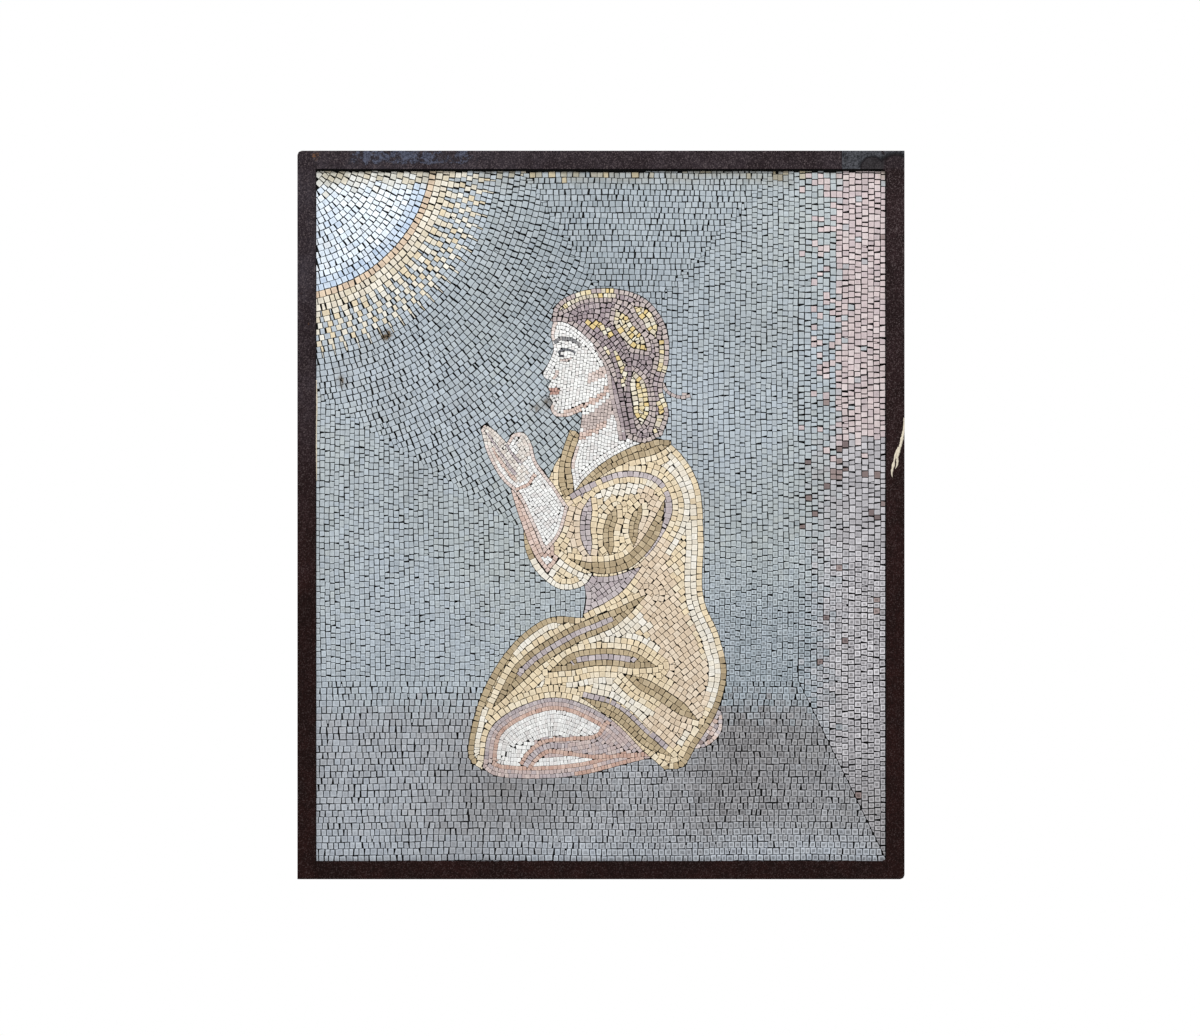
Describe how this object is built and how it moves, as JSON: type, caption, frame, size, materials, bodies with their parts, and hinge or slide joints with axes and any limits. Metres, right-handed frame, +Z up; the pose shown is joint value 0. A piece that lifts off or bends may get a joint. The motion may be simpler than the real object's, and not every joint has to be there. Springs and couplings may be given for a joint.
{
  "type": "mosaic panel",
  "caption": "Framed wall panel of stone tesserae: a kneeling robed figure before a quarter sun on a blue-grey ground, in a dark welded steel angle frame.",
  "frame": {"origin": "centre of the flat back that lies against the wall", "axes": "+Z up, +X to the right as seen from the front; the picture faces -Y"},
  "size_m": [1, 0.03, 1.2],
  "materials": {
    "frame_steel": "brown-black paint on rusty welded steel angle, worn and partly peeled",
    "weld_steel": "painted weld bead",
    "board": "plain grey fibre-cement board",
    "mortar": "dark ungrouted mortar bed that shows in the joints",
    "stone_ground": "honed blue-grey marble tesserae",
    "stone_floor": "honed mid-grey marble tesserae",
    "stone_wall": "honed pinkish and lilac-grey marble tesserae",
    "stone_sun": "white to pale blue marble tesserae",
    "stone_rays": "cream and tan marble tesserae",
    "stone_hair": "mauve-brown marble tesserae",
    "stone_hair_light": "yellow and cream marble tesserae",
    "stone_flesh": "small white and pink marble tesserae",
    "stone_rose": "rose and brown marble tesserae",
    "stone_robe": "cream, ochre and peach marble tesserae",
    "stone_mauve": "mauve marble tesserae with olive borders",
    "stone_olive": "olive-tan marble tesserae"
  },
  "bodies": {
    "root": {"backing_board": "board", "frame_bottom": "frame_steel", "frame_left": "frame_steel", "frame_right": "frame_steel", "frame_top": "frame_steel", "mortar_bed": "mortar", "tesserae_collar_far": "stone_olive", "tesserae_collar_near": "stone_olive", "tesserae_face": "stone_flesh", "tesserae_far_forearm": "stone_rose", "tesserae_floor": "stone_floor", "tesserae_fold_arm": "stone_olive", "tesserae_fold_cuff": "stone_olive", "tesserae_fold_elbow": "stone_olive", "tesserae_fold_hem": "stone_olive", "tesserae_fold_hip": "stone_olive", "tesserae_fold_inner": "stone_mauve", "tesserae_fold_thigh": "stone_mauve", "tesserae_fold_waist": "stone_mauve", "tesserae_foot": "stone_rose", "tesserae_ground_arcs": "stone_ground", "tesserae_ground_left": "stone_ground", "tesserae_ground_right": "stone_ground", "tesserae_ground_top": "stone_ground", "tesserae_hair": "stone_hair", "tesserae_hair_light_back": "stone_hair_light", "tesserae_hair_light_crown": "stone_hair_light", "tesserae_hair_light_side": "stone_hair_light", "tesserae_hands": "stone_flesh", "tesserae_leg": "stone_flesh", "tesserae_robe": "stone_robe", "tesserae_robe_chest": "stone_robe", "tesserae_robe_shadow": "stone_mauve", "tesserae_sleeve_far": "stone_robe", "tesserae_sleeve_near": "stone_robe", "tesserae_sun_disc": "stone_sun", "tesserae_sun_rays": "stone_rays", "tesserae_wall": "stone_wall", "weld_bottom_right": "weld_steel", "weld_top_right": "weld_steel"}
  },
  "joints": []
}
